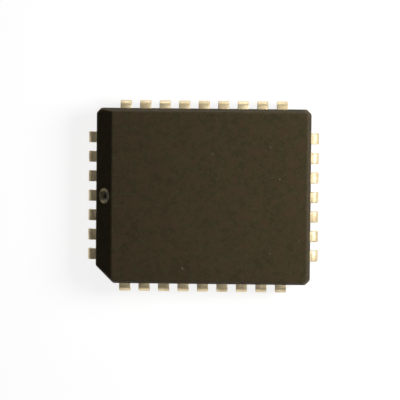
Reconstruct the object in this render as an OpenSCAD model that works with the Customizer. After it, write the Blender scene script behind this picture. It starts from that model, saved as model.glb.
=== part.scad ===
// Plastic leaded chip carrier: a moulded body on a stamped lead frame with J-shaped leads on all
// four sides. Millimetres, +Z up, origin on the board's surface under the middle of the package.
// X runs along the long sides, and the bevelled pin 1 side faces -X.

/* [Package] */
// Leads on each long side
leads_long = 9; // [7:1:11]
// Leads on each short side
leads_short = 7; // [5:2:9]
// Spacing of the leads along a side
pitch = 1.27; // [1.2:0.01:1.5]
// From the last lead of a side to the end of the moulding
end_margin = 1.905; // [1.85:0.005:2.2]

/* [Moulding] */
// Height of the underside above the board
standoff = 0.51; // [0.4:0.01:0.6]
// Thickness above the parting line
upper_h = 1.45; // [1.4:0.05:2]
// Thickness below the parting line
lower_h = 1.45; // [1.3:0.05:2]
// Draft angle of the sides
draft = 9; // [4:0.5:12]
// Leg of the chamfer on the three plain corners
corner_cut = 0.3; // [0.2:0.05:0.5]
// Diameter of the ejector mark on the underside
ejector_d = 3; // [2:0.1:4]
// Depth of the ejector mark
ejector_depth = 0.08; // [0.04:0.01:0.15]

/* [Pin 1 marks] */
// Leg of the chamfer on the index corner
index_cut = 1.14; // [0.9:0.01:1.22]
// Width of the bevel along the pin 1 side, seen from above
bevel_w = 1.1; // [0.9:0.05:1.25]
// Slope of that bevel
bevel_angle = 45; // [40:1:50]
// Diameter of the dimple at its mouth
dimple_d = 0.98; // [0.6:0.02:1.1]
// Diameter of the dimple's floor
dimple_floor_d = 0.34; // [0.2:0.02:0.5]
// Depth of the dimple
dimple_depth = 0.08; // [0.05:0.01:0.2]

/* [Leads] */
// Thickness of the lead frame
lead_t = 0.254; // [0.2:0.002:0.3]
// From the moulding's side to the outer face of the leads
lead_reach = 0.51; // [0.45:0.01:0.7]
// Width of a lead at its shoulder
shoulder_w = 0.72; // [0.66:0.01:0.81]
// Width of a lead at its foot
foot_w = 0.43; // [0.33:0.01:0.53]
// Outer radius of the shoulder's bend
shoulder_r = 0.4; // [0.35:0.01:0.44]
// How far below the top of the shoulder the lead starts to narrow
shoulder_drop = 0.62; // [0.5:0.01:0.8]
// Height over which it narrows
taper_h = 0.22; // [0.1:0.01:0.3]
// Outer radius of the J-shaped foot
curl_r = 0.9; // [0.7:0.01:1]
// How far the foot curls on past its lowest point, in degrees
curl_tuck = 65; // [50:1:75]
// Clearance of a foot's pocket in the moulding
pocket_clear = 0.13; // [0.08:0.01:0.2]

/* [Lead frame inside the moulding] */
// Straight root of each finger, from the moulding's side inwards
root_len = 0.9; // [0.6:0.05:1.1]
// Spacing of the finger tips
tip_pitch = 0.72; // [0.6:0.01:0.78]
// Width of a finger at its tip
tip_w = 0.34; // [0.25:0.01:0.4]
// Straight length of a finger at its tip
tip_land = 0.5; // [0.4:0.05:0.6]
// Gap between the finger tips and the paddle
tip_gap = 0.35; // [0.25:0.01:0.45]
// From the last finger tip of a side to the end of the paddle
paddle_margin = 0.5; // [0.4:0.01:0.6]
// How far the paddle lies below the fingers
paddle_downset = 0.25; // [0.15:0.01:0.35]
// Width of the bars that tie the paddle to the corners
tie_bar_w = 0.35; // [0.25:0.01:0.45]

/* [Die and bonding] */
// Thickness of the die attach adhesive
attach_t = 0.03; // [0.02:0.005:0.06]
// Thickness of the die
die_t = 0.35; // [0.25:0.01:0.5]
// Border of bare paddle round the die
die_margin = 0.45; // [0.35:0.01:0.6]
// From the die's edge to the middle of its bond pads
pad_inset = 0.15; // [0.1:0.01:0.25]
// From the die's corners to the last bond pads along an edge
pad_corner = 0.3; // [0.2:0.01:0.5]
// Thickness of the bond wire
wire_d = 0.03; // [0.025:0.001:0.05]
// Diameter of the ball bond on the die
ball_d = 0.09; // [0.07:0.005:0.12]
// Height of the ball bond
ball_h = 0.02; // [0.015:0.001:0.03]
// Height of the wire's loop above the die
loop_h = 0.24; // [0.15:0.01:0.35]
// Length of the stitch bond on the finger
stitch_len = 0.1; // [0.06:0.01:0.15]

/* [Hidden] */
$fn = 48;
// Longer than any dimension of the part, for cutting tools
far = 40;

// Leads come in whole numbers
long_count = round(leads_long);
short_count = round(leads_short);
lead_count = 2 * (long_count + short_count);

// Outline of the moulding at its parting line, and the heights of its faces
body_l = (long_count - 1) * pitch + 2 * end_margin;
body_w = (short_count - 1) * pitch + 2 * end_margin;
part_z = standoff + lower_h;
top_z = part_z + upper_h;

// Heights of the lead frame's two faces, and of the faces stacked on the paddle
frame_top = part_z + lead_t / 2;
frame_bottom = part_z - lead_t / 2;
paddle_top = frame_top - paddle_downset;
die_bottom = paddle_top + attach_t;
die_top = die_bottom + die_t;

// The sides in counter-clockwise order from above, starting with the pin 1 side at -X
side_angle = [180, 270, 0, 90];
side_count = [short_count, long_count, short_count, long_count];
side_half = [body_l, body_w, body_l, body_w] / 2;

// Paddle and die, sized by the finger tips that surround them
paddle_l = (long_count - 1) * tip_pitch + 2 * paddle_margin;
paddle_w = (short_count - 1) * tip_pitch + 2 * paddle_margin;
paddle_half = [paddle_l, paddle_w, paddle_l, paddle_w] / 2;
die_l = paddle_l - 2 * die_margin;
die_w = paddle_w - 2 * die_margin;

// Tie bars: the way from a corner of the paddle to the moulding's, a level stub and a sloping rise
tie_run = [body_l - paddle_l, body_w - paddle_w] / 2;
tie_stub = tie_bar_w;
tie_rise_run = 2 * paddle_downset;

// The foot's tip, measured from the lead's outer face inwards and from the board upwards
tip_inset = curl_r + curl_r * sin(curl_tuck);
tip_top = curl_r - (curl_r - lead_t) * cos(curl_tuck);

// Wire loop: the rise of its neck and of its sag as shares of loop_h, the lean of its knee as a share
// of loop_h, and the place of the sag as a share of the span
neck_rise = 0.7;
sag_rise = 0.8;
knee_lean = 0.4;
sag_place = 0.5;

// Leads that a byte-wide memory leaves unconnected
unbonded_pins = [1, 12, 17, 26];

function pin_node(pin) = str("lead_", pin < 10 ? "0" : "", pin);

// Pin 1 is the middle lead of the first side, so the count starts part of the way along it
function pin_order(pin) = (pin - 1 + floor((short_count - 1) / 2)) % lead_count;
function leads_before(side) = side == 0 ? 0 : leads_before(side - 1) + side_count[side - 1];
function order_side(order, side = 0) =
    order < leads_before(side) + side_count[side] ? side : order_side(order, side + 1);
function pin_side(pin) = order_side(pin_order(pin));
// Places of a lead along its side, in steps from the middle
function pin_step(pin) =
    let (side = pin_side(pin))
    pin_order(pin) - leads_before(side) - (side_count[side] - 1) / 2;

function unit(v) = v / norm(v);
function left_of(v) = [-v[1], v[0]];
// One edge of a ribbon that follows a path at a given offset, with mitred corners
function ribbon_edge(path, offset) = [
    for (i = [0:len(path) - 1])
        let (
            before = left_of(unit(path[max(i, 1)] - path[max(i, 1) - 1])),
            after = left_of(unit(path[min(i, len(path) - 2) + 1] - path[min(i, len(path) - 2)]))
        )
        path[i] + (before + after) * offset / (1 + before * after)
];
function reversed(list) = [for (i = [len(list) - 1:-1:0]) list[i]];

// Mould cavity

// Section of the moulding across one axis, widest at the parting line
module drafted_section(half) {
    polygon([
        [half - lower_h * tan(draft), standoff],
        [half, part_z],
        [half - upper_h * tan(draft), top_z],
        [upper_h * tan(draft) - half, top_z],
        [-half, part_z],
        [lower_h * tan(draft) - half, standoff]
    ]);
}

// Everything outside the two drafted planes of a corner chamfer
module corner_tool(x_sign, y_sign, leg) {
    rotate(atan2(y_sign, x_sign))
        translate([((body_l + body_w) / 2 - leg) / sqrt(2), 0, part_z])
            for (tilt = [-draft, draft])
                rotate([0, tilt, 0])
                    translate([0, -far / 2, -far / 2])
                        cube(far);
}

// Frame on the bevel: origin on its top edge, -X down the slope and +Z out of the face
module on_bevel() {
    translate([bevel_w - body_l / 2, 0, top_z])
        rotate([0, -bevel_angle, 0])
            children();
}

// How far the bevel reaches down its slope before it meets the drafted side
bevel_len = (bevel_w - upper_h * tan(draft)) / (cos(bevel_angle) - sin(bevel_angle) * tan(draft));

module body_outline() {
    difference() {
        intersection() {
            rotate([90, 0, 0])
                linear_extrude(height = far, center = true)
                    drafted_section(body_l / 2);
            rotate([90, 0, 90])
                linear_extrude(height = far, center = true)
                    drafted_section(body_w / 2);
        }
        on_bevel()
            translate([-far, -far / 2, 0])
                cube(far);
        corner_tool(-1, -1, index_cut);
        corner_tool(1, -1, corner_cut);
        corner_tool(1, 1, corner_cut);
        corner_tool(-1, 1, corner_cut);
    }
}

// Round dimple in the bevel, in line with pin 1
module pin_1_dimple() {
    on_bevel()
        translate([-bevel_len / 2, 0, -dimple_depth])
            cylinder(d1 = dimple_floor_d, d2 = dimple_d, h = dimple_depth);
}

module ejector_mark() {
    translate([0, 0, standoff - far])
        cylinder(d = ejector_d, h = far + ejector_depth);
}

// Puts children at a lead's place: +X outwards, +Y along the side
module at_pin(pin) {
    rotate(side_angle[pin_side(pin)])
        translate([0, pin_step(pin) * pitch, 0])
            children();
}

// Pocket in the underside that the tip of a foot curls into
module foot_pocket(half) {
    width = foot_w + 2 * pocket_clear;
    translate([half + lead_reach - tip_inset - pocket_clear, -width / 2, tip_top + pocket_clear - far])
        cube([far, width, far]);
}

// Lead frame

// Quarter or longer stretch of a bend: a ring cut to the sector between two angles
module bend(outer_r, from_angle, to_angle) {
    reach = 2 * outer_r;
    middle = (from_angle + to_angle) / 2;
    intersection() {
        difference() {
            circle(r = outer_r);
            circle(r = outer_r - lead_t);
        }
        polygon([
            [0, 0],
            reach * [cos(from_angle), sin(from_angle)],
            reach * [cos(middle), sin(middle)],
            reach * [cos(to_angle), sin(to_angle)]
        ]);
    }
}

// Side view of the bent part of a lead: shoulder, shank and curled foot
module bent_profile(outer) {
    shank_top = frame_top - shoulder_r;
    translate([outer - shoulder_r, shank_top])
        bend(shoulder_r, 0, 90);
    translate([outer - lead_t, curl_r])
        square([lead_t, shank_top - curl_r]);
    translate([outer - curl_r, curl_r])
        bend(curl_r, -90 - curl_tuck, 0);
}

// Front view of a lead: wide at the shoulder, narrow at the foot
module lead_front() {
    wide_to = frame_top - shoulder_drop;
    half_widths = [
        [shoulder_w / 2, frame_top + lead_t],
        [shoulder_w / 2, wide_to],
        [foot_w / 2, wide_to - taper_h],
        [foot_w / 2, -lead_t]
    ];
    polygon(concat(half_widths, reversed([for (p = half_widths) [-p[0], p[1]]])));
}

// Flat part of a lead: its root in the moulding's side and the finger that slants on to the paddle.
// It ends overhang outside the moulding's side.
module flat_part(pin, overhang) {
    half = side_half[pin_side(pin)];
    tip = paddle_half[pin_side(pin)] + tip_gap;
    drift = pin_step(pin) * (tip_pitch - pitch);
    translate([0, 0, frame_bottom])
        linear_extrude(height = lead_t)
            polygon([
                [half + overhang, -shoulder_w / 2],
                [half + overhang, shoulder_w / 2],
                [half - root_len, shoulder_w / 2],
                [tip + tip_land, drift + tip_w / 2],
                [tip, drift + tip_w / 2],
                [tip, drift - tip_w / 2],
                [tip + tip_land, drift - tip_w / 2],
                [half - root_len, -shoulder_w / 2]
            ]);
}

// One lead, from its bonded tip inside the moulding to its foot on the board
module lead(pin) {
    color("#d8cba6")
        at_pin(pin) {
            flat_part(pin, lead_reach - shoulder_r);
            intersection() {
                rotate([90, 0, 0])
                    linear_extrude(height = 2 * shoulder_w, center = true)
                        bent_profile(side_half[pin_side(pin)] + lead_reach);
                rotate([90, 0, 90])
                    linear_extrude(height = far)
                        lead_front();
            }
        }
}

// Puts children at a corner of the paddle, with +X towards the same corner of the moulding
module at_paddle_corner(x_sign, y_sign) {
    translate([x_sign * paddle_l / 2, y_sign * paddle_w / 2, 0])
        rotate(atan2(y_sign * tie_run[1], x_sign * tie_run[0]))
            children();
}

// Plan of the paddle, with the stubs that the tie bars rise from
module paddle_plan() {
    square([paddle_l, paddle_w], center = true);
    for (x_sign = [-1, 1], y_sign = [-1, 1])
        at_paddle_corner(x_sign, y_sign)
            square([2 * tie_stub, tie_bar_w], center = true);
}

// Bar from a stub of the paddle up to the frame's plane and out past the moulding's corner
module tie_bar(x_sign, y_sign) {
    lower_edge = [
        [tie_stub, paddle_top - lead_t],
        [tie_stub + tie_rise_run, frame_bottom],
        [norm(tie_run) + tie_bar_w, frame_bottom]
    ];
    at_paddle_corner(x_sign, y_sign)
        rotate([90, 0, 0])
            linear_extrude(height = tie_bar_w, center = true)
                polygon(concat(lower_edge, reversed([for (p = lower_edge) p + [0, lead_t]])));
}

// Paddle and tie bars as they are stamped
module paddle_blank() {
    translate([0, 0, paddle_top - lead_t])
        linear_extrude(height = lead_t)
            paddle_plan();
    for (x_sign = [-1, 1], y_sign = [-1, 1])
        tie_bar(x_sign, y_sign);
}

// Paddle with its tie bars sheared off flush with the moulding's corners
module die_paddle() {
    color("#b9774a")
        intersection() {
            body_outline();
            paddle_blank();
        }
}

// Die and its bonds

module die_attach() {
    color("#c9c9c4")
        translate([-die_l / 2, -die_w / 2, paddle_top])
            cube([die_l, die_w, attach_t]);
}

module silicon_die() {
    color("#5f6470")
        translate([-die_l / 2, -die_w / 2, die_bottom])
            cube([die_l, die_w, die_t]);
}

// Ball bond, wire loop and stitch bond between a die pad and the finger of one lead
module bond_wire(pin) {
    side = pin_side(pin);
    side_die = [die_l, die_w, die_l, die_w][side];
    row_die = [die_w, die_l, die_w, die_l][side];
    pad_row = row_die - 2 * pad_corner;
    pad_pitch = pad_row / (side_count[side] - 1);
    pad = [side_die / 2 - pad_inset, pin_step(pin) * pad_pitch];
    finger = [paddle_half[side] + tip_gap + tip_land / 2, pin_step(pin) * tip_pitch];
    span = norm(finger - pad);
    path = [
        [0, die_top],
        [0, die_top + loop_h * neck_rise],
        [loop_h * knee_lean, die_top + loop_h],
        [span * sag_place, die_top + loop_h * sag_rise],
        [span, frame_top + wire_d / 2],
        [span + stitch_len, frame_top + wire_d / 2]
    ];
    rotate(side_angle[side])
        translate(pad) {
            translate([0, 0, die_top])
                cylinder(d = ball_d, h = ball_h, $fn = 8);
            rotate(atan2(finger[1] - pad[1], finger[0] - pad[0]))
                rotate([90, 0, 0])
                    linear_extrude(height = wire_d, center = true)
                        polygon(concat(
                            ribbon_edge(path, wire_d / 2),
                            reversed(ribbon_edge(path, -wire_d / 2))
                        ));
        }
}

module bond_wires() {
    color("#d9ae3f")
        for (pin = [1:lead_count])
            if (len(search(pin, unbonded_pins)) == 0)
                bond_wire(pin);
}

// The moulding fills its cavity wherever the lead frame, die and wires are not
module mold_body() {
    color("#3a3328")
        difference() {
            body_outline();
            pin_1_dimple();
            ejector_mark();
            for (pin = [1:lead_count])
                at_pin(pin)
                    foot_pocket(side_half[pin_side(pin)]);
            for (pin = [1:lead_count])
                at_pin(pin)
                    flat_part(pin, lead_reach);
            paddle_blank();
            die_attach();
            silicon_die();
            bond_wires();
        }
}

mold_body();
die_paddle();
die_attach();
silicon_die();
bond_wires();
for (pin = [1:lead_count])
    lead(pin);
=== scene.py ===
# %% [markdown]
# A plastic leaded chip carrier
#
# The object is a chip package a little larger than a fingernail: a dark moulded body with 32 metal
# leads that come out of its sides, bend down and curl back under it like the letter J. The measured
# model is loaded first and stays as it is. It sets the places and sizes of everything that follows.

# %% Load the measured model
from math import cos, pi, radians, sin, sqrt, tan

import bmesh
import bpy
from mathutils import Matrix, Vector


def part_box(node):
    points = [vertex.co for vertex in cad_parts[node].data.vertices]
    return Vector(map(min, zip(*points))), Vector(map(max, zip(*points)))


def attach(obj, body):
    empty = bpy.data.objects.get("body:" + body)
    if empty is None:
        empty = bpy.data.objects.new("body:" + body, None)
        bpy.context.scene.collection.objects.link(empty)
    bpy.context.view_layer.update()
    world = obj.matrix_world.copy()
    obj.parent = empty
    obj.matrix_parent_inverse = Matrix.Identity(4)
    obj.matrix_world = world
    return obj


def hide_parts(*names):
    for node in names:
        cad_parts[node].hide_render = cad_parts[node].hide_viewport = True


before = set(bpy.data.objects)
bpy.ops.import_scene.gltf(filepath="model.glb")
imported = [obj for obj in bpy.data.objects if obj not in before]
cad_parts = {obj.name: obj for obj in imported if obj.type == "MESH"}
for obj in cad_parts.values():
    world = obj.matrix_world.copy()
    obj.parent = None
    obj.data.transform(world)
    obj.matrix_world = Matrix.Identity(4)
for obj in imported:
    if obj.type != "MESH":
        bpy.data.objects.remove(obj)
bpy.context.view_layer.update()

MM = 0.001


def in_mm(corner):
    """A place in metres as rounded millimetres."""
    return [round(value / MM, 3) for value in corner]


# %% [markdown]
# The moulding, the lead frame and the outer faces of the leads give the main sizes. They could be
# typed in again, but reading them from the model keeps the dressed pieces on the measured ones. All
# modelling below is done in millimetres, because some mesh operators ignore steps as fine as the
# rounded edges of this part would be in metres. Each finished mesh is scaled down once at the end.

# %% Read the main sizes in millimetres
body_low, body_high = (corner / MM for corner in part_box("mold_body"))
HALF_L = body_high.x
HALF_W = body_high.y
UNDERSIDE_Z = body_low.z
TOP_Z = body_high.z
PARTING_Z = (UNDERSIDE_Z + TOP_Z) / 2
FRAME_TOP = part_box("die_paddle")[1].z / MM
LEAD_T = 2 * (FRAME_TOP - PARTING_Z)
LEAD_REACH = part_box("lead_14")[1].x / MM - HALF_L
print("moulding", 2 * HALF_L, "x", 2 * HALF_W, "parting line at", round(PARTING_Z, 3))
print("lead thickness", round(LEAD_T, 3), "reach", round(LEAD_REACH, 3))

# %% [markdown]
# Shader nodes can be wired one by one, but a sum of five nodes is hard to read that way. A small
# class that wraps a socket lets a mask be written as ordinary Python, and each operator adds the Math
# node that it stands for.


# %% Shader maths as Python expressions
class Shade:
    """One output socket of a node tree, used like a number."""

    def __init__(self, tree, socket):
        self.tree = tree
        self.socket = socket

    def node(self, kind, settings=None, sockets=None, output=0):
        """Adds any node: its settings first, then the values or links of its sockets."""
        made = self.tree.nodes.new(kind)
        for name, value in (settings or {}).items():
            setattr(made, name, value)
        for name, value in (sockets or {}).items():
            if isinstance(value, Shade):
                self.tree.links.new(value.socket, made.inputs[name])
            else:
                made.inputs[name].default_value = value
        return Shade(self.tree, made.outputs[output])

    def math(self, operation, first, second):
        """Adds the Math node that an operator stands for."""
        return self.node("ShaderNodeMath", {"operation": operation}, {0: first, 1: second})

    def __add__(self, other):
        return self.math("ADD", self, other)

    __radd__ = __add__

    def __mul__(self, other):
        return self.math("MULTIPLY", self, other)

    __rmul__ = __mul__

    def __sub__(self, other):
        return self.math("SUBTRACT", self, other)

    def __rsub__(self, other):
        return self.math("SUBTRACT", other, self)

    def __gt__(self, other):
        return self.math("GREATER_THAN", self, other)

    def vector_math(self, operation, sockets):
        """Adds a Vector Math node, for what Math nodes can't do to a place."""
        return self.node("ShaderNodeVectorMath", {"operation": operation}, sockets)

    def moved(self, way):
        """This place, moved along a way."""
        return self.vector_math("ADD", {0: self, 1: way})

    def scaled(self, factor):
        """This place, with its three coordinates times one factor."""
        return self.vector_math("SCALE", {"Vector": self, "Scale": factor})

    def stretched(self, factors):
        """This place, with each coordinate times a factor of its own."""
        return self.vector_math("MULTIPLY", {0: self, 1: factors})

    def rise(self, start, end):
        """A soft step from 0 at start to 1 at end, which may lie below start."""
        limits = {"Value": self, "From Min": start, "From Max": end}
        return self.node("ShaderNodeMapRange", {"interpolation_type": "SMOOTHSTEP"}, limits)

    def noise(self, scale=1.0, detail=2.0, roughness=0.5):
        """Cloudy noise, about 0.5 in the middle, with lumps of 1 / scale millimetres."""
        sockets = {"Vector": self, "Scale": scale, "Detail": detail, "Roughness": roughness}
        return self.node("ShaderNodeTexNoise", None, sockets)

    def grains(self, scale, output):
        """The distance to the nearest of many scattered grains, or that grain's own colour."""
        return self.node("ShaderNodeTexVoronoi", None, {"Vector": self, "Scale": scale}, output)

    def channel(self, name):
        """The Red, Green or Blue of a colour."""
        return self.node("ShaderNodeSeparateColor", None, {"Color": self}, name)

    def attribute(self, name):
        """A number that the mesh stores on its faces or corners."""
        return self.node("ShaderNodeAttribute", {"attribute_name": name}, None, "Fac")

    def mixed(self, colour_at_0, colour_at_1):
        """A colour between two, with this value as the share of the second."""
        ends = {0: self, 6: colour_at_0, 7: colour_at_1}
        return self.node("ShaderNodeMix", {"data_type": "RGBA"}, ends, 2)

    def bump(self, depth_mm):
        """The normal of a surface that this value raises by up to depth_mm."""
        return self.node("ShaderNodeBump", None, {"Height": self, "Distance": depth_mm * MM})


def new_finish(name):
    """A material, its Principled shader, and its Object coordinates in millimetres."""
    material = bpy.data.materials.new(name)
    material.use_nodes = True
    tree = material.node_tree
    coordinates = Shade(tree, tree.nodes.new("ShaderNodeTexCoord").outputs["Object"])
    return material, tree.nodes["Principled BSDF"], coordinates.scaled(1 / MM)


def feed(shader, **sockets):
    """Sets or links the inputs of a shader, named with _ for a space."""
    for name, value in sockets.items():
        socket = shader.inputs[name.replace("_", " ")]
        if isinstance(value, Shade):
            value.tree.links.new(value.socket, socket)
        else:
            socket.default_value = value


def rgb(red, green, blue):
    """An opaque colour from three linear values."""
    return (red, green, blue, 1.0)


print("shader helpers ready")

# %% [markdown]
# The body is an epoxy resin filled with fine silica, moulded in a spark-eroded steel tool. The tool
# leaves a matt, finely grained skin. One colour with a roughness would look like paper, and a picture
# wrapped round the body would blur when it is seen close up. So the tones come from noise of four
# sizes: cloudy patches where resin has gathered, a mottle, a drift towards red and a grain of under a
# tenth of a millimetre.

# %% Resin tones
RESIN_DARK = rgb(0.0350, 0.0284, 0.0144)
RESIN_LIGHT = rgb(0.0655, 0.0535, 0.0262)
RESIN_RED = rgb(0.0650, 0.0428, 0.0232)
PATCHES_PER_MM = 0.55
MOTTLE_PER_MM = 2.6
HUES_PER_MM = 1.5
GRAIN_PER_MM = 11.0

mould_compound, shader, place = new_finish("mould_compound")
patches = place.noise(PATCHES_PER_MM, detail=3.0, roughness=0.55)
mottle = place.noise(MOTTLE_PER_MM)
hue = place.noise(HUES_PER_MM, detail=3.0, roughness=0.6)
grain = place.noise(GRAIN_PER_MM, detail=3.0, roughness=0.6)
tone = (0.2 * patches + 0.3 * mottle + 0.5 * grain).rise(0.28, 0.72)
resin = tone.mixed(RESIN_DARK, RESIN_LIGHT)
resin = (0.7 * hue.rise(0.42, 0.62)).mixed(resin, RESIN_RED)
print("resin tones from noise of", PATCHES_PER_MM, "to", GRAIN_PER_MM, "lumps per mm")

# %% [markdown]
# Two kinds of places differ from the rest of the skin. Edges that the moulding tool rounds off are
# worn a little smoother, and their paler colour is partly wear and partly a painted highlight along
# the rounded edges. The dimple was formed by a polished pin, so it has a gloss of its own, and its
# wall carries a pale painted highlight, strongest at the two ends along the bevel. Noise can't know
# where an edge is, so the mesh stores a number on those faces, and the material reads it as an
# attribute.

# %% Worn edges and painted highlights on the edges and in the dimple
# Paler edge colour: partly wear, partly a painted highlight on the rounded edges.
RESIN_RUBBED_AND_HIGHLIT = rgb(0.078, 0.061, 0.037)
# Pale colour painted on the dimple wall as a highlight.
PAINTED_DIMPLE_HIGHLIGHT = rgb(0.80, 0.64, 0.36)
DIMPLE_HIGHLIGHT_BLOTCHES_PER_MM = 5.0
HIGHLIGHT_FAINT_SQUARE = 0.02
HIGHLIGHT_FULL_SQUARE = 0.16

# Mixes in the paler edge colour, which is partly wear and partly painted highlight.
rubbed_and_highlit = place.attribute("rubbed_and_highlit")
resin = (rubbed_and_highlit * 0.5 * grain.rise(0.35, 0.6)).mixed(resin, RESIN_RUBBED_AND_HIGHLIT)
sunk = place.attribute("sunk")
along_bevel = place.node("ShaderNodeSeparateXYZ", None, {"Vector": place}, "Y")
# The painted dimple highlight grows towards both ends of the bevel.
highlit_ends = (along_bevel * along_bevel).rise(HIGHLIGHT_FAINT_SQUARE, HIGHLIGHT_FULL_SQUARE)
# Mask of the painted highlight on the dimple wall and, less, on its floor.
dimple_highlight_mask = sunk * (0.3 + 0.7 * highlit_ends) * place.noise(DIMPLE_HIGHLIGHT_BLOTCHES_PER_MM, detail=3.0).rise(0.3, 0.6)
resin = dimple_highlight_mask.mixed(resin, PAINTED_DIMPLE_HIGHLIGHT)
# Prints where the painted dimple highlight is strongest along the bevel.
print("wax is thickest from", sqrt(HIGHLIGHT_FULL_SQUARE), "mm along the bevel")

# %% [markdown]
# A few pale filler grains lie at the surface. They are balls scattered through the whole body, so a
# surface cuts them at different sizes, and Voronoi cells give just that. Each cell's random colour
# says whether its ball is there and how pale it is. The grain that tints the skin raises it too, with
# small pits in between. A rough skin scatters more light where it is seen at a low angle, and a faint
# sheen stands for that.

# %% Filler grains and skin
FILLER = rgb(0.17, 0.14, 0.095)
FILLER_PER_MM = 1.6
FILLER_SHARE = 0.08
FILLER_RIM = 0.15
FILLER_CORE = 0.08
PITS_PER_MM = 24.0
SKIN_DEPTH = 0.012
RESIN_SHEEN = rgb(1.0, 0.88, 0.70)

ball_colour = place.grains(FILLER_PER_MM, "Color")
chosen = ball_colour.channel("Red") > 1 - FILLER_SHARE
paleness = ball_colour.channel("Green")
ball = place.grains(FILLER_PER_MM, "Distance").rise(FILLER_RIM, FILLER_CORE)
speck = ball * chosen * (0.2 + 0.8 * paleness)
pits = place.noise(PITS_PER_MM, detail=1.0).rise(0.62, 0.75)
feed(
    shader,
    Base_Color=speck.mixed(resin, FILLER),
    Roughness=0.62 + 0.2 * grain + 0.1 * patches - 0.1 * rubbed_and_highlit - 0.2 * sunk,
    Normal=(grain + 0.35 * mottle - 0.4 * pits).bump(SKIN_DEPTH),
    Specular_IOR_Level=0.05,
    Sheen_Weight=0.06,
    Sheen_Roughness=0.4,
    Sheen_Tint=RESIN_SHEEN,
    Coat_Weight=0.38 * sunk,
    Coat_Roughness=0.3,
)
print("finish:", mould_compound.name, len(mould_compound.node_tree.nodes), "nodes")

# %% [markdown]
# The leads are copper alloy with a satin tin plating that has yellowed a little with age. A perfect
# mirror would only show the room, so the plating is metallic with a fine, uneven roughness: a wavy
# bump from the stamping, a grain from the plating bath and a warm tarnish in patches. Fine lines run
# along the strip that the leads were rolled and stamped from. They have to follow every bend, so the
# mesh of a lead stores how far each corner lies across the strip, and noise is squeezed that way.

# %% Lead plating
TIN_BRIGHT = rgb(0.85, 0.72, 0.465)
TIN_AGED = rgb(0.63, 0.50, 0.30)
TARNISH_PER_MM = 1.3
BATH_GRAIN_PER_MM = 22.0
WAVES_PER_MM = 3.2
LINES_PER_MM = 34.0
LINE_DRIFT = 0.7
PLATING_DEPTH = 0.008

lead_plating, shader, place = new_finish("lead_plating")
tarnish = place.noise(TARNISH_PER_MM, detail=4.0, roughness=0.6)
bath_grain = place.noise(BATH_GRAIN_PER_MM, detail=3.0, roughness=0.6)
waves = place.noise(WAVES_PER_MM)
across = place.attribute("across")
line_number = place.node("ShaderNodeCombineXYZ", None, {"X": LINES_PER_MM * across})
lines = line_number.moved(place.scaled(LINE_DRIFT)).noise(detail=3.0, roughness=0.6)
aged = (0.6 * tarnish + 0.3 * bath_grain + 0.1 * lines).rise(0.44, 0.66)
feed(
    shader,
    Base_Color=aged.mixed(TIN_BRIGHT, TIN_AGED),
    Metallic=0.86 - 0.2 * aged,
    Roughness=0.43 + 0.1 * bath_grain + 0.1 * aged + 0.12 * lines,
    Normal=(0.6 * waves + 0.25 * bath_grain + 0.2 * lines).bump(PLATING_DEPTH),
)
print("finish:", lead_plating.name, len(lead_plating.node_tree.nodes), "nodes")

# %% [markdown]
# After plating, the leads are sheared from the strip and the paddle's tie bars are snapped off flush
# with the corners, so copper shows on the cut faces. A sheared face has a smooth, burnished band and
# a rough, torn one. Noise that is squeezed sideways gives the fine upright drag lines of the cut.

# %% Copper
COPPER_FRESH = rgb(0.70, 0.36, 0.20)
COPPER_DULL = rgb(0.36, 0.17, 0.09)
DRAG_PER_MM = (14.0, 14.0, 2.5)
STAINS_PER_MM = 2.2
DRAG_DEPTH = 0.006

frame_copper, shader, place = new_finish("frame_copper")
drag = place.stretched(DRAG_PER_MM).noise()
stain = place.noise(STAINS_PER_MM, detail=3.0)
dull = (0.5 * drag + 0.5 * stain).rise(0.38, 0.66)
feed(
    shader,
    Base_Color=dull.mixed(COPPER_FRESH, COPPER_DULL),
    Metallic=0.95,
    Roughness=0.28 + 0.25 * dull,
    Normal=drag.bump(DRAG_DEPTH),
)
print("finish:", frame_copper.name, len(frame_copper.node_tree.nodes), "nodes")

# %% [markdown]
# The die is a chip of polished silicon with its circuit on top. The circuit is far too thin to be
# modelled, so it is a change of tone: Voronoi cells stand for its blocks, and noise that is squeezed
# along two axes for the rows of cells inside them.

# %% Silicon
SILICON = rgb(0.10, 0.11, 0.135)
CIRCUIT = rgb(0.20, 0.19, 0.23)
BLOCKS_PER_MM = 1.4
ROWS_PER_MM = (9.0, 40.0, 1.0)

silicon, shader, place = new_finish("silicon")
circuit = place.grains(BLOCKS_PER_MM, "Color").channel("Red")
rows = place.stretched(ROWS_PER_MM).noise(detail=0.0).rise(0.45, 0.55)
feed(
    shader,
    Base_Color=(0.5 * circuit + 0.35 * rows).mixed(SILICON, CIRCUIT),
    Metallic=0.6,
    Roughness=0.16 + 0.14 * rows,
)
print("finish:", silicon.name, len(silicon.node_tree.nodes), "nodes")

# %% [markdown]
# The die is glued to its paddle with a paste of resin and silver flakes. One grey would do at this
# size, but scattered grains that are paler, smoother and more metallic than the resin between them
# show what the paste is made of.

# %% Die adhesive
PASTE = rgb(0.42, 0.42, 0.40)
FLAKE = rgb(0.72, 0.72, 0.70)
FLAKES_PER_MM = 30.0
FLAKE_DEPTH = 0.004

attach_adhesive, shader, place = new_finish("attach_adhesive")
flakes = place.grains(FLAKES_PER_MM, "Distance").rise(0.45, 0.2)
feed(
    shader,
    Base_Color=flakes.mixed(PASTE, FLAKE),
    Metallic=0.4 * flakes,
    Roughness=0.55 - 0.2 * flakes,
    Normal=flakes.bump(FLAKE_DEPTH),
)
print("finish:", attach_adhesive.name, len(attach_adhesive.node_tree.nodes), "nodes")

# %% [markdown]
# The bond wires are drawn gold, a few hundredths of a millimetre thick. A plain gold would do, but
# fine noise varies their colour and gloss a little, as the marks of drawing do on the real wire.

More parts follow.
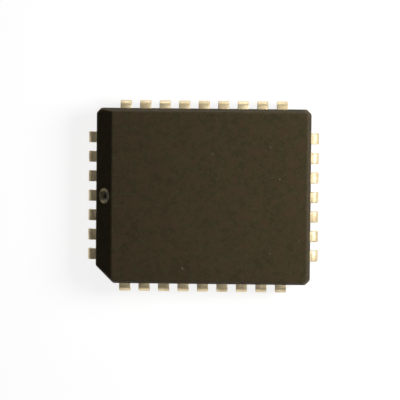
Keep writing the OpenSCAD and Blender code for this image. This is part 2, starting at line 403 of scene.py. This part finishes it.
# %% Bond gold
GOLD = rgb(0.83, 0.58, 0.20)
GOLD_DRAWN = rgb(0.70, 0.46, 0.14)
DRAW_MARKS_PER_MM = 60.0

bond_gold, shader, place = new_finish("bond_gold")
draw_marks = place.noise(DRAW_MARKS_PER_MM)
feed(
    shader,
    Base_Color=draw_marks.mixed(GOLD, GOLD_DRAWN),
    Metallic=1.0,
    Roughness=0.15 + 0.2 * draw_marks,
)
print("finish:", bond_gold.name, len(bond_gold.node_tree.nodes), "nodes")

# %% [markdown]
# The paddle, the adhesive, the die and the wires are sealed inside the moulding. Their measured
# shapes are good enough as they are, so they only get their finishes, and a cut-away shows the real
# thing.

# %% Dress the pieces inside
for node_name, finish in (
    ("die_paddle", frame_copper),
    ("die_attach", attach_adhesive),
    ("silicon_die", silicon),
    ("bond_wires", bond_gold),
):
    node_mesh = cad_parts[node_name].data
    node_mesh.materials.clear()
    node_mesh.materials.append(finish)
    print(node_name, "shows", finish.name)

# %% [markdown]
# Every new piece is finished in the same way: doubles are merged, the faces are turned outwards, the
# mesh is scaled from millimetres to metres, the piece is told which body it rides on, and the node of
# the measured model that it stands for is hidden. An edge with one face or three would be a hole or a
# stray wall, so those are counted.

# %% Finish a piece
MERGE_DISTANCE = 1e-4


def finish_piece(name, shape, finishes, stands_for):
    """Makes a bmesh in millimetres into an object that stands for a node of the model."""
    bmesh.ops.remove_doubles(shape, verts=shape.verts, dist=MERGE_DISTANCE)
    bmesh.ops.recalc_face_normals(shape, faces=shape.faces)
    open_edges = sum(1 for edge in shape.edges if len(edge.link_faces) != 2)
    bmesh.ops.scale(shape, vec=(MM, MM, MM), verts=shape.verts)
    mesh = bpy.data.meshes.new(name)
    shape.to_mesh(mesh)
    shape.free()
    for finish in finishes:
        mesh.materials.append(finish)
    piece = bpy.data.objects.new(name, mesh)
    bpy.context.collection.objects.link(piece)
    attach(piece, "root")
    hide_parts(stands_for)
    return piece, open_edges


print("pieces are finished by one function, which merges within", MERGE_DISTANCE, "mm")

# %% [markdown]
# The moulding is a block with sloping sides: the two halves of the mould open up and down, so each
# half tapers by a draft angle away from the parting line. The pin 1 side has a wide bevel along its
# top edge and one corner is cut off as an index. Drafted blocks can be extruded with a taper, but
# here every face is a plane at a known place, so a large cube is cut by those planes one after the
# other, and each cut is closed with a flat face. The corners are cut a hair deeper than in the model,
# so that the copper ends of the tie bars show there.

# %% Cut the block
DRAFT = radians(9)
BEVEL_W = 1.1
BEVEL_SLOPE = radians(45)
INDEX_CUT = 1.14
CORNER_CUT = 0.3
TIE_BAR_PROUD = 0.006
BLOCK_MARGIN = 1.0
CUT_TOLERANCE = 1e-5
ALONG_X = Vector((1, 0, 0))
ALONG_Y = Vector((0, 1, 0))
UP = Vector((0, 0, 1))


def slice_off(shape, point, normal):
    """Cuts away what lies beyond a plane and closes the cut with a flat face."""
    everything = shape.verts[:] + shape.edges[:] + shape.faces[:]
    cut = bmesh.ops.bisect_plane(
        shape, geom=everything, dist=CUT_TOLERANCE, plane_co=point, plane_no=normal, clear_outer=True
    )
    rim = [item for item in cut["geom_cut"] if isinstance(item, bmesh.types.BMEdge)]
    bmesh.ops.edgeloop_fill(shape, edges=rim)


def slice_drafted(shape, outward, distance):
    """Cuts the two drafted faces of one side, which meet at the parting line."""
    point = outward * distance + UP * PARTING_Z
    for half in (1, -1):
        slice_off(shape, point, outward * cos(DRAFT) + UP * half * sin(DRAFT))


moulding = bmesh.new()
block_size = (2 * (HALF_L + BLOCK_MARGIN), 2 * (HALF_W + BLOCK_MARGIN), TOP_Z - UNDERSIDE_Z)
bmesh.ops.create_cube(moulding, size=1)
bmesh.ops.scale(moulding, vec=block_size, verts=moulding.verts)
bmesh.ops.translate(moulding, vec=UP * PARTING_Z, verts=moulding.verts)
for axis, half_size in ((ALONG_X, HALF_L), (ALONG_Y, HALF_W)):
    for outward in (axis, -axis):
        slice_drafted(moulding, outward, half_size)
bevel_top = Vector((BEVEL_W - HALF_L, 0, TOP_Z))
bevel_out = Vector((-sin(BEVEL_SLOPE), 0, cos(BEVEL_SLOPE)))
slice_off(moulding, bevel_top, bevel_out)
for x_sign, y_sign, leg in (
    (-1, -1, INDEX_CUT),
    (1, -1, CORNER_CUT),
    (1, 1, CORNER_CUT),
    (-1, 1, CORNER_CUT),
):
    outward = Vector((x_sign, y_sign, 0)).normalized()
    corner_distance = (HALF_L + HALF_W - leg) / sqrt(2)
    slice_drafted(moulding, outward, corner_distance - TIE_BAR_PROUD)
print("block with", len(moulding.faces), "flat faces")

# %% [markdown]
# A steel tool can't have knife-sharp inner corners, so the outer edges of the moulding are rounded by
# about a tenth of a millimetre. The bevel operator does that to every edge that turns by more than
# the draft ridge, which stays sharp because the two mould halves meet there. The new faces are marked
# for the material, which makes them smoother and paler, partly wear and partly a painted edge
# highlight, and only they are shaded smooth.

# %% Round the edges
EDGE_ROUND = 0.09
EDGE_STEPS = 4
RIDGE_TURN = radians(25)


def round_off(shape, geom, radius, steps, affect="EDGES"):
    """Rounds edges or corners with a circular profile and returns the new faces."""
    rounded = bmesh.ops.bevel(
        shape, geom=geom, offset=radius, offset_type="OFFSET", segments=steps,
        profile=0.5, affect=affect, clamp_overlap=True, material=-1,
    )
    return rounded["faces"]


# Marks the rounded edges for the paler colour, which is partly wear and partly painted highlight.
rubbed_and_highlit_mark = moulding.faces.layers.float.new("rubbed_and_highlit")
corners = [edge for edge in moulding.edges if edge.calc_face_angle() > RIDGE_TURN]
rounds = round_off(moulding, corners, EDGE_ROUND, EDGE_STEPS)
for face in rounds:
    face[rubbed_and_highlit_mark] = 1.0
    face.smooth = True
print(len(corners), "edges rounded with", len(rounds), "faces")

# %% [markdown]
# Two round marks are sunk into flat faces: the dimple in the bevel and the print of an ejector pin on
# the underside. A boolean with a cylinder would do, but it leaves long thin triangles. Here a square
# is cut out of the face, its border is split into short edges, an inset of it is moved onto a circle,
# and that disc is pushed in with a sloping wall.

# %% Tools for a round mark
SQUARE_SHARE = 0.6
SIDE_SPLITS = 15
RING_INSET = 0.005
MARK_STEPS = 3
FACING = 0.9999


def face_towards(shape, normal):
    """The largest face that looks along a normal."""
    facing = [face for face in shape.faces if face.normal.dot(normal) > FACING]
    return max(facing, key=lambda face: face.calc_area())


def square_of(shape, face, middle, along, half_side):
    """Cuts a square out of a flat face with four planes."""
    sideways = face.normal.cross(along)
    for way in (along, -along, sideways, -sideways):
        own = [face, *face.edges, *face.verts]
        cut = bmesh.ops.bisect_plane(
            shape, geom=own, dist=CUT_TOLERANCE, plane_co=middle + way * half_side, plane_no=way
        )
        parts = [item for item in cut["geom"] if isinstance(item, bmesh.types.BMFace)]
        face = min(parts, key=lambda part: part.calc_center_median().dot(way))
    return face


def put_on_circle(disc, middle, axis, radius):
    """Spaces the corners of a face evenly round a circle."""
    spoke = disc.verts[0].co - middle
    spoke = (spoke - axis * spoke.dot(axis)).normalized() * radius
    for number, corner in enumerate(disc.verts):
        turn = Matrix.Rotation(2 * pi * number / len(disc.verts), 3, axis)
        corner.co = middle + turn @ spoke


def sink_mark(shape, face, middle, along, rings, edge_round):
    """Sinks a round mark into a face. Its rings of diameter and height run from outside inwards."""
    outward = face.normal.copy()
    mark_d = rings[0][0]
    disc = square_of(shape, face, middle, along, SQUARE_SHARE * mark_d)
    bmesh.ops.bisect_edges(shape, edges=disc.edges[:], cuts=SIDE_SPLITS)
    ring_edges = []
    for diameter, height in rings:
        bmesh.ops.inset_individual(shape, faces=[disc], thickness=RING_INSET)
        put_on_circle(disc, middle + outward * height, outward, diameter / 2)
        ring_edges += disc.edges[:]
    round_off(shape, ring_edges, edge_round, MARK_STEPS)
    mark = [made for made in shape.faces if (made.calc_center_median() - middle).length < mark_d / 2]
    for made in mark:
        made.smooth = True
    return mark


print("a mark's circle has", 4 * (SIDE_SPLITS + 1), "edges")

# %% [markdown]
# The dimple lies in the middle of the bevel and points to pin 1. It is wide and shallow, with a small
# flat floor. The bevel runs from the top down to the drafted side, so the draft decides how long it
# is and where its middle lies. The faces of the dimple are marked as sunk for the material: the wall
# fully, and the floor less, so the floor gets less of the painted highlight and of the gloss.

# %% Sink the dimple
DIMPLE_D = 0.98
DIMPLE_FLOOR_D = 0.34
DIMPLE_DEPTH = 0.08
DIMPLE_ROUND = 0.03
# The floor's share of the painted dimple highlight and of the coat gloss.
FLOOR_SUNK_SHARE = 0.16

sunk_mark = moulding.faces.layers.float.new("sunk")
bevel_face = face_towards(moulding, bevel_out)
down_slope = Vector((-cos(BEVEL_SLOPE), 0, -sin(BEVEL_SLOPE)))
width_at_top = BEVEL_W - (TOP_Z - PARTING_Z) * tan(DRAFT)
bevel_len = width_at_top / (cos(BEVEL_SLOPE) - sin(BEVEL_SLOPE) * tan(DRAFT))
dimple_middle = bevel_top + down_slope * bevel_len / 2
dimple_rings = ((DIMPLE_D, 0), (DIMPLE_FLOOR_D, -DIMPLE_DEPTH))
dimple = sink_mark(moulding, bevel_face, dimple_middle, down_slope, dimple_rings, DIMPLE_ROUND)
floor_reach = DIMPLE_FLOOR_D / 2 + DIMPLE_ROUND
for face in dimple:
    on_wall = (face.calc_center_median() - dimple_middle).length > floor_reach
    face[sunk_mark] = 1.0 if on_wall else FLOOR_SUNK_SHARE
print("dimple at", [round(value, 3) for value in dimple_middle], "with", len(dimple), "faces")

# %% [markdown]
# When the mould opens, a steel pin pushes the package out, and its end leaves a shallow round print
# in the middle of the underside. The same tools sink it, with a steeper wall.

# %% Sink the ejector mark
EJECTOR_D = 3.0
EJECTOR_FLOOR_D = 2.94
EJECTOR_DEPTH = 0.08
EJECTOR_ROUND = 0.015

underside = face_towards(moulding, -UP)
ejector_rings = ((EJECTOR_D, 0), (EJECTOR_FLOOR_D, -EJECTOR_DEPTH))
ejector = sink_mark(moulding, underside, UP * UNDERSIDE_Z, ALONG_X, ejector_rings, EJECTOR_ROUND)
print("ejector mark with", len(ejector), "faces")

# %% [markdown]
# On the underside every foot curls into a pocket of its own. The pockets are boxes that are open
# below and to the side. There are 32 of them, and as many booleans would be slow and leave stray
# edges. So planes first split the border of the underside where the pockets start and end, and each
# pocket is then covered by faces of its own.

# %% Split the underside at the pockets
PITCH = 1.27
SIDE_COUNTS = (7, 9, 7, 9)
SIDE_ANGLES = (180, 270, 0, 90)
FOOT_W = 0.43
CURL_R = 0.9
CURL_TUCK = radians(65)
POCKET_CLEAR = 0.13
FOOT_INSET = CURL_R + CURL_R * sin(CURL_TUCK)
POCKET_TOP = CURL_R - (CURL_R - LEAD_T) * cos(CURL_TUCK) + POCKET_CLEAR
POCKET_HALF = FOOT_W / 2 + POCKET_CLEAR


def side_half(side):
    """From the middle of the package to the parting line of a side."""
    return (HALF_L, HALF_W)[side % 2]


def side_frame(side):
    """The outward and the lengthwise direction of a side."""
    turn = Matrix.Rotation(radians(SIDE_ANGLES[side]), 3, "Z")
    return turn @ ALONG_X, turn @ ALONG_Y


def lead_steps(side):
    """How many pitches each lead of a side stands from the side's middle."""
    count = SIDE_COUNTS[side]
    return [step - (count - 1) / 2 for step in range(count)]


def pocket_back(side):
    """From the middle of the package to the back wall of a pocket."""
    return side_half(side) + LEAD_REACH - FOOT_INSET - POCKET_CLEAR


def pocket_border(shape, side):
    """The faces of a side that lie in front of the pockets' back walls and below their ceilings."""
    outward = side_frame(side)[0]
    border = []
    for face in shape.faces:
        middle = face.calc_center_median()
        if middle.dot(outward) > pocket_back(side) and middle.z < POCKET_TOP:
            border.append(face)
    return border


def split(shape, faces, point, normal):
    """Splits faces along a plane without taking anything away."""
    geom = {item for face in faces for item in (face, *face.edges, *face.verts)}
    bmesh.ops.bisect_plane(
        shape, geom=list(geom), dist=CUT_TOLERANCE, plane_co=point, plane_no=normal
    )


lower = [face for face in moulding.faces if face.calc_center_median().z < PARTING_Z]
split(moulding, lower, UP * POCKET_TOP, UP)
for side in range(4):
    outward = side_frame(side)[0]
    back = pocket_back(side)
    bottom = [face for face in moulding.faces if face.normal.z < -FACING]
    crossed = [face for face in bottom if max(corner.co.dot(outward) for corner in face.verts) > back]
    split(moulding, crossed, outward * back, outward)
for side in range(4):
    along = side_frame(side)[1]
    for from_middle in lead_steps(side):
        for wall in (-POCKET_HALF, POCKET_HALF):
            wall_place = along * (from_middle * PITCH + wall)
            split(moulding, pocket_border(moulding, side), wall_place, along)
print("underside split into", len(moulding.faces), "faces")

# %% [markdown]
# Now the faces over each pocket are deleted, and new walls close the hole: two side walls, a ceiling
# and a back wall. An inset that is pushed in would make a hole with one opening, but a pocket is open
# below and to the side. The corners of the hole are already there, so a side wall needs only one new
# corner, deep inside.

# %% Open the pockets and build their walls
REACH_TOLERANCE = 1e-3


def pocket_covers(shape, side, from_middle):
    """The faces that close a pocket."""
    along = side_frame(side)[1]
    return [
        face for face in pocket_border(shape, side)
        if abs(face.calc_center_median().dot(along) - from_middle * PITCH) < POCKET_HALF
    ]


def pocket_rim(shape, side, wall_along):
    """The corners of an opened pocket along one of its side walls, from the back outwards."""
    outward, along = side_frame(side)
    rim = [
        corner for corner in shape.verts
        if abs(corner.co.dot(along) - wall_along) < REACH_TOLERANCE
        and corner.co.dot(outward) > pocket_back(side) - REACH_TOLERANCE
        and corner.co.z < POCKET_TOP + REACH_TOLERANCE
    ]
    return sorted(rim, key=lambda corner: corner.co.dot(outward) + corner.co.z)


for side in range(4):
    for from_middle in lead_steps(side):
        covers = pocket_covers(moulding, side, from_middle)
        bmesh.ops.delete(moulding, geom=covers, context="FACES")
        side_walls = []
        for wall in (-POCKET_HALF, POCKET_HALF):
            rim = pocket_rim(moulding, side, from_middle * PITCH + wall)
            inner = moulding.verts.new(rim[0].co + UP * (POCKET_TOP - rim[0].co.z))
            moulding.faces.new([*rim, inner])
            side_walls.append((rim[0], inner, rim[-1]))
        (near_low, near_in, near_out), (far_low, far_in, far_out) = side_walls
        moulding.faces.new((near_out, near_in, far_in, far_out))
        moulding.faces.new((near_low, near_in, far_in, far_low))
moulding_piece, open_edges = finish_piece(
    "moulding", moulding, [mould_compound], "mold_body"
)
print("moulding:", len(moulding_piece.data.polygons), "faces,", open_edges, "open edges")

# %% [markdown]
# Each lead is one strip of metal, stamped from a sheet and bent. A curve with a bevel profile could
# follow its path, but its width couldn't change. So the strip's cross-section is one small face, which
# is extruded along the straight stretches and spun round the bends, and moving its corners apart
# widens the strip on the way. Where two stretches meet, the old end face would stay as a wall inside
# the metal, so it is deleted. Only the very first one, with nothing behind it, stays.


# %% Tools for a bent strip
def pull(shape, face, way, widen=0.0):
    """Extrudes the strip's end face along a way, and widens it about its middle."""
    joins_a_stretch = all(len(edge.link_faces) == 2 for edge in face.edges)
    pulled = bmesh.ops.extrude_face_region(shape, geom=[face])["geom"]
    end = next(item for item in pulled if isinstance(item, bmesh.types.BMFace))
    middle = end.calc_center_median().y
    for corner in end.verts:
        corner.co.y += widen / 2 if corner.co.y > middle else -widen / 2
    bmesh.ops.translate(shape, vec=way, verts=end.verts[:])
    if joins_a_stretch:
        bmesh.ops.delete(shape, geom=[face], context="FACES_ONLY")
    return end


def curl(shape, face, centre, angle, steps):
    """Spins the strip's end face round an axis along Y."""
    own = [face, *face.edges, *face.verts]
    spun = bmesh.ops.spin(
        shape, geom=own, cent=centre, axis=ALONG_Y, angle=angle, steps=steps, use_duplicate=False
    )
    return next(item for item in spun["geom_last"] if isinstance(item, bmesh.types.BMFace))


print("a strip is pulled straight or curled, and widened on the way")

# %% [markdown]
# The path of a lead starts at the die: a finger with a flat land for its bond wire fans out to its
# place in the row, leaves the moulding as a wide shoulder that bends down, narrows to a shank, and
# curls back under the body as a foot. The section has rounded corners, as stamped metal does, and the
# sheared end of the foot shows copper. Leads are built with X pointing outwards.

# %% Sweep one lead
SHOULDER_W = 0.72
SHOULDER_R = 0.4
SHOULDER_DROP = 0.62
SHOULDER_STEPS = 10
TAPER_H = 0.22
CURL_STEPS = 18
ROOT_LEN = 0.9
TIP_PITCH = 0.72
TIP_W = 0.34
TIP_LAND = 0.5
TIP_GAP = 0.35
DIE_MARGIN = 0.45
STRIP_ROUND = 0.04
STRIP_STEPS = 3
die_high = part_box("silicon_die")[1] / MM
PADDLE_HALF = (die_high.x + DIE_MARGIN, die_high.y + DIE_MARGIN)


def lead_strip(side, from_middle):
    """One lead with X pointing outwards and Y = 0 in its middle."""
    root = side_half(side) - ROOT_LEN
    outer = side_half(side) + LEAD_REACH
    tip = PADDLE_HALF[side % 2] + TIP_GAP
    drift = from_middle * (TIP_PITCH - PITCH)
    shank_top = FRAME_TOP - SHOULDER_DROP - TAPER_H
    strip = bmesh.new()
    corners = [
        strip.verts.new((tip, drift + y_sign * TIP_W / 2, PARTING_Z + z_sign * LEAD_T / 2))
        for y_sign, z_sign in ((-1, -1), (1, -1), (1, 1), (-1, 1))
    ]
    strip.faces.new(corners)
    round_off(strip, corners, STRIP_ROUND, STRIP_STEPS, affect="VERTICES")
    end = strip.faces[:][0]
    end = pull(strip, end, ALONG_X * TIP_LAND)
    end = pull(strip, end, Vector((root - tip - TIP_LAND, -drift, 0)), SHOULDER_W - TIP_W)
    end = pull(strip, end, ALONG_X * (outer - SHOULDER_R - root))
    end = curl(strip, end, (outer - SHOULDER_R, 0, FRAME_TOP - SHOULDER_R), pi / 2, SHOULDER_STEPS)
    end = pull(strip, end, -UP * (SHOULDER_DROP - SHOULDER_R))
    end = pull(strip, end, -UP * TAPER_H, FOOT_W - SHOULDER_W)
    end = pull(strip, end, -UP * (shank_top - CURL_R))
    end = curl(strip, end, (outer - CURL_R, 0, CURL_R), pi / 2 + CURL_TUCK, CURL_STEPS)
    end.material_index = 1
    across_strip = strip.verts.layers.float.new("across")
    for corner in strip.verts:
        corner[across_strip] = corner.co.y
    return strip


print("a lead narrows from", SHOULDER_W, "to", FOOT_W, "mm")

# %% [markdown]
# Pin 1 is the middle lead of the first side, and the count runs counter-clockwise as seen from above.
# Copies of one lead would be quicker, but the fingers of a row fan out differently, so each lead is
# swept on its own, shifted along its row and turned to its side. The plated faces are shaded smooth,
# with sharp edges kept where the metal really turns.

# %% Place the 32 leads
SHARP_TURN = radians(40)

leads = [(side, from_middle) for side in range(4) for from_middle in lead_steps(side)]
pin_1 = SIDE_COUNTS[0] // 2
leads = leads[pin_1:] + leads[:pin_1]
open_edges = 0
for number, (side, from_middle) in enumerate(leads, start=1):
    strip = lead_strip(side, from_middle)
    turn = Matrix.Rotation(radians(SIDE_ANGLES[side]), 4, "Z")
    shift = Matrix.Translation(ALONG_Y * from_middle * PITCH)
    bmesh.ops.transform(strip, matrix=turn @ shift, verts=strip.verts)
    for face in strip.faces:
        face.smooth = face.material_index == 0
    node_name = f"lead_{number:02d}"
    lead, lead_open = finish_piece(
        f"{node_name}_plated", strip, [lead_plating, frame_copper], node_name
    )
    lead.data.set_sharp_from_angle(angle=SHARP_TURN)
    open_edges += lead_open
print(len(leads), "leads,", open_edges, "open edges,", len(lead.data.polygons), "faces each")

# %% [markdown]
# The floor is pale and plain. More light would make it white, but it would bleach the object too. So
# the floor glows close to white for the camera and for mirror-like rays only, which Light Path tells
# apart, and its matt part still takes the shadow.

# %% Floor
FLOOR_HALF = 3000.0
FLOOR_GLOW = 0.84
FLOOR_TONE = rgb(0.28, 0.28, 0.28)
BLACK = rgb(0, 0, 0)
WHITE = rgb(1, 1, 1)

floor_white = bpy.data.materials.new("floor_white")
floor_white.use_nodes = True
tree = floor_white.node_tree
light_path = tree.nodes.new("ShaderNodeLightPath")
seen = Shade(tree, light_path.outputs["Is Camera Ray"])
seen = seen + Shade(tree, light_path.outputs["Is Glossy Ray"])
seen = seen + Shade(tree, light_path.outputs["Is Transmission Ray"])
feed(
    tree.nodes["Principled BSDF"],
    Base_Color=FLOOR_TONE,
    Roughness=0.9,
    Specular_IOR_Level=0.0,
    Emission_Color=(FLOOR_GLOW * seen.rise(0.0, 1.0)).mixed(BLACK, WHITE),
    Emission_Strength=1.0,
)

floor_shape = bmesh.new()
bmesh.ops.create_grid(floor_shape, x_segments=1, y_segments=1, size=FLOOR_HALF * MM)
floor_mesh = bpy.data.meshes.new("floor")
floor_shape.to_mesh(floor_mesh)
floor_shape.free()
floor_mesh.materials.append(floor_white)
floor = bpy.data.objects.new("floor", floor_mesh)
bpy.context.collection.objects.link(floor)
print("floor of", 2 * FLOOR_HALF, "mm at z = 0")

# %% [markdown]
# The photograph is lit by one soft lamp close to the right, with little light from elsewhere: the
# leads on that side are bright and the bevel on the other side is nearly black. A large area lamp
# stands for it. The leads of the two long sides and their flat shoulders are still bright, though,
# and metal shows what is around it, so two low lamps stand along those sides and a weak one hangs
# overhead. A very dim world fills the rest.

# %% Lamps and world
KEY_AZIMUTH = radians(12)
KEY_ELEVATION = radians(45.5)
KEY_DISTANCE = 52.0
KEY_SIZE = 26.0
KEY_WATTS = 0.0272
FAR_AZIMUTH = radians(90)
NEAR_AZIMUTH = radians(270)
FILL_ELEVATION = radians(6)
FILL_DISTANCE = 400.0
FILL_SIZE = 80.0
FAR_FILL_WATTS = 0.42
NEAR_FILL_WATTS = 0.22
OVERHEAD_AZIMUTH = 0.0
OVERHEAD_ELEVATION = radians(89)
OVERHEAD_DISTANCE = 120.0
OVERHEAD_SIZE = 30.0
OVERHEAD_WATTS = 0.0100
WORLD_STRENGTH = 0.01
MIDDLE = UP * PARTING_Z


def add_lamp(name, azimuth, elevation, distance, size, watts):
    """A square area lamp that looks at the middle of the package."""
    lamp = bpy.data.objects.new(name, bpy.data.lights.new(name, "AREA"))
    bpy.context.collection.objects.link(lamp)
    lamp.data.size = size * MM
    lamp.data.energy = watts
    lamp.visible_camera = False
    back = Vector((cos(azimuth) * cos(elevation), sin(azimuth) * cos(elevation), sin(elevation)))
    lamp.location = (MIDDLE + back * distance) * MM
    lamp.rotation_mode = "QUATERNION"
    lamp.rotation_quaternion = back.to_track_quat("Z", "Y")
    print(name, watts, "W at", in_mm(lamp.location))


add_lamp("key_lamp", KEY_AZIMUTH, KEY_ELEVATION, KEY_DISTANCE, KEY_SIZE, KEY_WATTS)
add_lamp("far_fill", FAR_AZIMUTH, FILL_ELEVATION, FILL_DISTANCE, FILL_SIZE, FAR_FILL_WATTS)
add_lamp("near_fill", NEAR_AZIMUTH, FILL_ELEVATION, FILL_DISTANCE, FILL_SIZE, NEAR_FILL_WATTS)
add_lamp(
    "overhead", OVERHEAD_AZIMUTH, OVERHEAD_ELEVATION, OVERHEAD_DISTANCE, OVERHEAD_SIZE, OVERHEAD_WATTS
)
world = bpy.data.worlds.new("dim_room")
bpy.context.scene.world = world
world.use_nodes = True
feed(world.node_tree.nodes["Background"], Color=WHITE, Strength=WORLD_STRENGTH)

# %% [markdown]
# The camera looks almost straight down from 150 mm with a long lens. It stands about two degrees off,
# towards the far side and the side away from the bevel, and it is turned a little about its own axis.
# It could be aimed by hand, but working the lens out from the distance and the scale of the picture
# keeps the size of the object right when the distance changes.

# %% Camera
CAMERA_DISTANCE = 150.0
CAMERA_LEAN_X = radians(1.67)
CAMERA_LEAN_Y = radians(2.0)
CAMERA_ROLL = radians(0.55)
CAMERA_NEAREST = 10.0
CAMERA_FARTHEST = 20000.0
PIXELS = 400
PIXELS_PER_MM = 15.364
MIDDLE_PIXEL = (203.3, 196.4)
SENSOR = 36.0

camera = bpy.data.objects.new("camera", bpy.data.cameras.new("camera"))
bpy.context.collection.objects.link(camera)
camera.data.sensor_width = SENSOR
camera.data.lens = SENSOR * CAMERA_DISTANCE * PIXELS_PER_MM / PIXELS
camera.data.clip_start = CAMERA_NEAREST * MM
camera.data.clip_end = CAMERA_FARTHEST * MM
back = Vector((sin(CAMERA_LEAN_X), sin(CAMERA_LEAN_Y), 1)).normalized()
up = Vector((-sin(CAMERA_ROLL), cos(CAMERA_ROLL), 0))
up = (up - back * up.dot(back)).normalized()
right = up.cross(back)
shift_right = (PIXELS / 2 - MIDDLE_PIXEL[0]) / PIXELS_PER_MM
shift_up = (MIDDLE_PIXEL[1] - PIXELS / 2) / PIXELS_PER_MM
aim = MIDDLE + right * shift_right + up * shift_up
turn = Matrix((right, up, back)).transposed().to_4x4()
camera.matrix_world = Matrix.Translation((aim + back * CAMERA_DISTANCE) * MM) @ turn
bpy.context.scene.camera = camera
bpy.context.scene.view_settings.view_transform = "Standard"
print("lens", round(camera.data.lens, 1), "mm at", in_mm(camera.matrix_world.translation))

# %% [markdown]
# Last, the view layer is brought up to date. The dressed one has to stay inside the measured one.

# %% Finish
bpy.context.view_layer.update()
